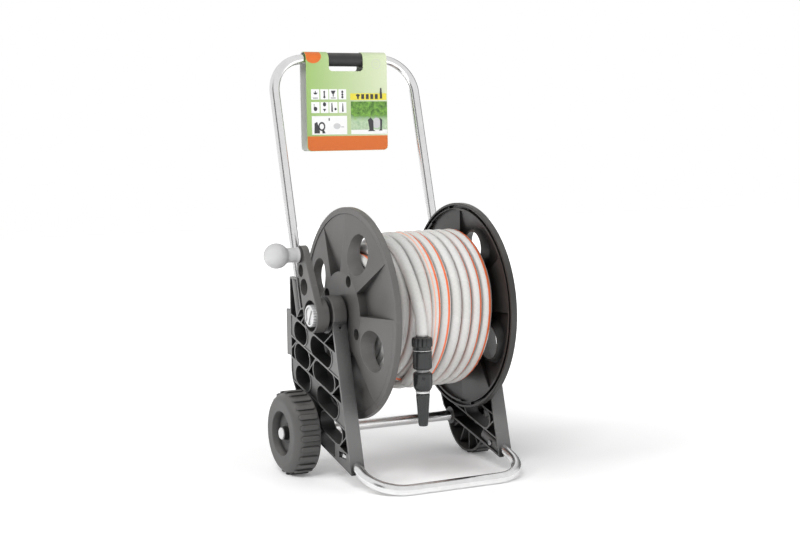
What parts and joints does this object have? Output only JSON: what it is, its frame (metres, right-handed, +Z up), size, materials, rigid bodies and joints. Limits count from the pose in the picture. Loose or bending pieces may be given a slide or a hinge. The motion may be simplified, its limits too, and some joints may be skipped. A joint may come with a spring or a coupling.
{
  "type": "garden hose reel cart",
  "caption": "Two-wheeled garden hose reel cart: lattice side frames, crank-driven flanged reel with wound hose and nozzle, tall tube handle and tube foot.",
  "frame": {"origin": "on the floor, in the middle of the cart's width and depth without its hose", "axes": "+X along the reel's axis, away from the crank; +Y to the back, where the handle leans; +Z up"},
  "size_m": [0.3974, 0.3864, 0.6476],
  "materials": {
    "bright_tube": "drawn and lightly polished",
    "screw_steel": "zinc plated",
    "wheel_grey": "moulded, satin",
    "white_knob": "smooth satin",
    "light_cap": "smooth satin",
    "hose_wall": "clear grey wall with coloured stripes",
    "nozzle_black": "moulded with grip ribs",
    "card_print": "printed card",
    "grip_grey": "soft satin",
    "seal_rubber": "smooth",
    "dark_moulding": "moulded",
    "charcoal_moulding": "moulded, fine grain",
    "grey_moulding": "moulded, fine grain"
  },
  "bodies": {
    "cart": {"axle_tube": "bright_tube", "bearing_cap_screws": "dark_moulding", "connector_body": "nozzle_black", "connector_neck": "light_cap", "connector_nut": "nozzle_black", "foot_tube": "bright_tube", "foot_tube_screws": "screw_steel", "handle_grip": "grip_grey", "handle_tube": "bright_tube", "handle_tube_screws": "screw_steel", "header_card": "card_print", "hose_tail": "hose_wall", "left_axle_cap": "light_cap", "left_bearing_cap": "grey_moulding", "left_side_frame": "grey_moulding", "left_wheel_washer": "dark_moulding", "nozzle_body": "light_cap", "right_axle_cap": "light_cap", "right_bearing_cap": "grey_moulding", "right_side_frame": "grey_moulding", "right_wheel_washer": "dark_moulding"},
    "reel": {"crank_arm": "grey_moulding", "crank_knob_pin": "screw_steel", "crank_lock_knob": "light_cap", "drum_core": "grey_moulding", "flange_screws": "screw_steel", "hose_winding": "hose_wall", "hub_elbow": "dark_moulding", "left_flange": "grey_moulding", "left_hub_shaft": "grey_moulding", "right_flange": "charcoal_moulding", "right_hub_shaft": "grey_moulding"},
    "knob": {"crank_knob": "white_knob"},
    "left_road_wheel": {"left_wheel": "wheel_grey", "left_wheel_bush": "dark_moulding"},
    "right_road_wheel": {"right_wheel": "wheel_grey", "right_wheel_bush": "dark_moulding"},
    "inlet": {"inlet_seals": "seal_rubber", "water_inlet": "dark_moulding"},
    "collar": {"connector_collar": "nozzle_black"},
    "spray_tip": {"nozzle_tip": "nozzle_black"}
  },
  "joints": [
    {"name": "reel_spin", "type": "hinge", "parent": "cart", "child": "reel", "pos_m": [0.0175, -0.0352, 0.2491], "axis": [1, 0, 0], "continuous": true},
    {"name": "knob_spin", "type": "hinge", "parent": "reel", "child": "knob", "pos_m": [-0.1795, 0.0018, 0.3371], "axis": [1, 0, 0], "continuous": true},
    {"name": "left_wheel_spin", "type": "hinge", "parent": "cart", "child": "left_road_wheel", "pos_m": [-0.1438, 0.0382, 0.064], "axis": [1, 0, 0], "continuous": true},
    {"name": "right_wheel_spin", "type": "hinge", "parent": "cart", "child": "right_road_wheel", "pos_m": [0.1788, 0.0382, 0.064], "axis": [1, 0, 0], "continuous": true},
    {"name": "inlet_swivel", "type": "hinge", "parent": "cart", "child": "inlet", "pos_m": [0.1795, -0.0352, 0.2491], "axis": [1, 0, 0], "continuous": true},
    {"name": "collar_slide", "type": "slide", "parent": "cart", "child": "collar", "axis": [0, 0, 1], "range_m": [0, 0.003], "stiffness_N_per_m": 400},
    {"name": "spray_twist", "type": "hinge", "parent": "cart", "child": "spray_tip", "pos_m": [-0.0257, -0.1637, 0.1135], "axis": [0, 0, 1], "range_deg": [0, 270]}
  ]
}
